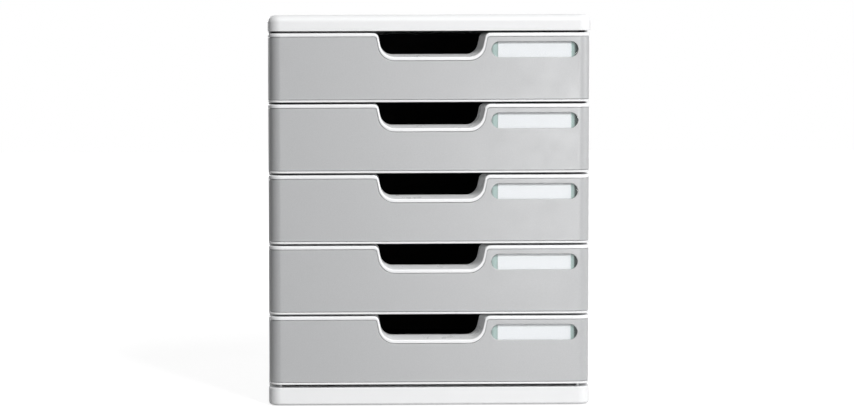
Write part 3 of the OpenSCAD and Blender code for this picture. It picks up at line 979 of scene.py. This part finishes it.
def shown_white(tree, place, rightwards):
    """1 for the rays that show a surface straight or through glass, DIM_SIDE to 1 in a gloss, else 0.

    A gloss shows the left of the studio darker: place is a direction or a point, and its product with
    rightwards grows from the dim side to the bright one.
    """
    path = tree.nodes.new("ShaderNodeLightPath")
    side = tree.nodes.new("ShaderNodeVectorMath")
    side.operation = "DOT_PRODUCT"
    side.inputs[1].default_value = rightwards
    tree.links.new(place, side.inputs[0])
    bright = ranged(tree, side.outputs["Value"], DIM_SIDE, 1, *DIM_RANGE)
    gloss = joined(tree, "MULTIPLY", path.outputs["Is Glossy Ray"], bright)
    through = joined(tree, "MAXIMUM", path.outputs["Is Camera Ray"], path.outputs["Is Transmission Ray"])
    return joined(tree, "MAXIMUM", through, gloss)


class CABINET_OT_studio(bpy.types.Operator):
    """Builds the pale floor, the surroundings, five soft lamps and the camera."""

    bl_idname = "cabinet.studio"
    bl_label = "Studio"

    def execute(self, context):
        scene, studio = context.scene, context.scene.cabinet_studio
        self.surroundings(scene, studio)
        self.floor()
        for name, (place, size) in LAMPS.items():
            self.lamp(f"{name.capitalize()} lamp", place, size, getattr(studio, name))
        self.camera(scene, studio)
        scene.view_settings.view_transform = "Standard"
        return {"FINISHED"}

    def surroundings(self, scene, studio):
        """Even pale light that shows as white."""
        world = bpy.data.worlds.new("Surroundings")
        scene.world = world
        world.use_nodes = True
        tree = world.node_tree
        back = tree.nodes["Background"]
        back.inputs["Color"].default_value = (1, 1, 1, 1)
        direction = tree.nodes.new("ShaderNodeTexCoord").outputs["Generated"]
        shown = shown_white(tree, direction, (1, 0, 1))
        tree.links.new(ranged(tree, shown, studio.surround, 1), back.inputs["Strength"])

    def floor(self):
        """Wide flat floor that shows near white and keeps a faint shadow of the cabinet."""
        mesh = bpy.data.meshes.new("floor")
        corners = np.array([[-1, -1, 0], [1, -1, 0], [1, 1, 0], [-1, 1, 0]]) * FLOOR_REACH
        mesh.from_pydata(corners, [], [[0, 1, 2, 3]])
        floor = bpy.data.objects.new("floor", mesh)
        bpy.context.scene.collection.objects.link(floor)
        made = Finish("floor_white", (1, 1, 1), roughness=0.9, specular=0.1)
        made.shader.inputs["Emission Color"].default_value = (1, 1, 1, 1)
        away = made.node("ShaderNodeVectorMath", operation="LENGTH")
        made.link(made.place, away.inputs[0])
        pale = ranged(made.tree, away.outputs["Value"], *FLOOR_TONE, *FLOOR_FADE)
        made.link(pale, made.shader.inputs["Base Color"])
        glow = ranged(made.tree, away.outputs["Value"], *FLOOR_GLOW, *FLOOR_FADE)
        shown = joined(made.tree, "MULTIPLY", glow, shown_white(made.tree, made.place, (1, 0, 0)))
        made.link(shown, made.shader.inputs["Emission Strength"])
        mesh.materials.append(made.material)

    def lamp(self, name, place, size, power):
        """Square soft lamp that faces the cabinet's middle."""
        light = bpy.data.lights.new(name, "AREA")
        light.size, light.energy = size, power
        lamp = bpy.data.objects.new(name, light)
        lamp.location = place
        lamp.rotation_euler = (LAMP_AIM - lamp.location).to_track_quat("-Z", "Y").to_euler()
        bpy.context.scene.collection.objects.link(lamp)

    def camera(self, scene, studio):
        """Camera in front, a little to the left and level with the cover."""
        data = bpy.data.cameras.new("camera")
        data.lens, data.shift_x, data.shift_y = studio.lens, studio.shift_x, studio.shift_y
        camera = bpy.data.objects.new("camera", data)
        face = drawer_box(1, "front_frame")[0][1]
        camera.location = (studio.camera_x, face - studio.distance, studio.camera_z)
        turn = Euler((math.pi / 2 - studio.pitch, 0, -studio.yaw)).to_matrix()
        camera.rotation_euler = (turn @ Euler((0, 0, -studio.roll)).to_matrix()).to_euler()
        scene.collection.objects.link(camera)
        scene.camera = camera


OPERATORS = (CABINET_OT_cover, CABINET_OT_plinth, CABINET_OT_walls, CABINET_OT_trays, CABINET_OT_frames,
             CABINET_OT_panels, CABINET_OT_labels, CABINET_OT_studio)


class CABINET_PT_panel(bpy.types.Panel):
    """Lists the settings and the operators in the sidebar."""

    bl_label = "Drawer cabinet"
    bl_idname = "CABINET_PT_panel"
    bl_space_type = "VIEW_3D"
    bl_region_type = "UI"
    bl_category = "Cabinet"

    def draw(self, context):
        scene = context.scene
        for kind in OPERATORS:
            self.layout.operator(kind.bl_idname)
        for group in (scene.cabinet_sizes, scene.cabinet_finishes, scene.cabinet_studio):
            box = self.layout.box()
            for name in group.__annotations__:
                box.prop(group, name)


CLASSES = (CabinetSizes, CabinetFinishes, CabinetStudio, *OPERATORS, CABINET_PT_panel)


def register():
    """Registers the classes and gives the scene its settings."""
    for kind in CLASSES:
        bpy.utils.register_class(kind)
    bpy.types.Scene.cabinet_sizes = PointerProperty(type=CabinetSizes)
    bpy.types.Scene.cabinet_finishes = PointerProperty(type=CabinetFinishes)
    bpy.types.Scene.cabinet_studio = PointerProperty(type=CabinetStudio)


def unregister():
    """Takes the settings and the classes away again."""
    del bpy.types.Scene.cabinet_studio
    del bpy.types.Scene.cabinet_finishes
    del bpy.types.Scene.cabinet_sizes
    for kind in reversed(CLASSES):
        bpy.utils.unregister_class(kind)


def main():
    register()
    bpy.ops.cabinet.cover()
    bpy.ops.cabinet.plinth()
    bpy.ops.cabinet.walls()
    bpy.ops.cabinet.trays()
    bpy.ops.cabinet.frames()
    bpy.ops.cabinet.panels()
    bpy.ops.cabinet.labels()
    bpy.ops.cabinet.studio()


if __name__ == "__main__":
    main()
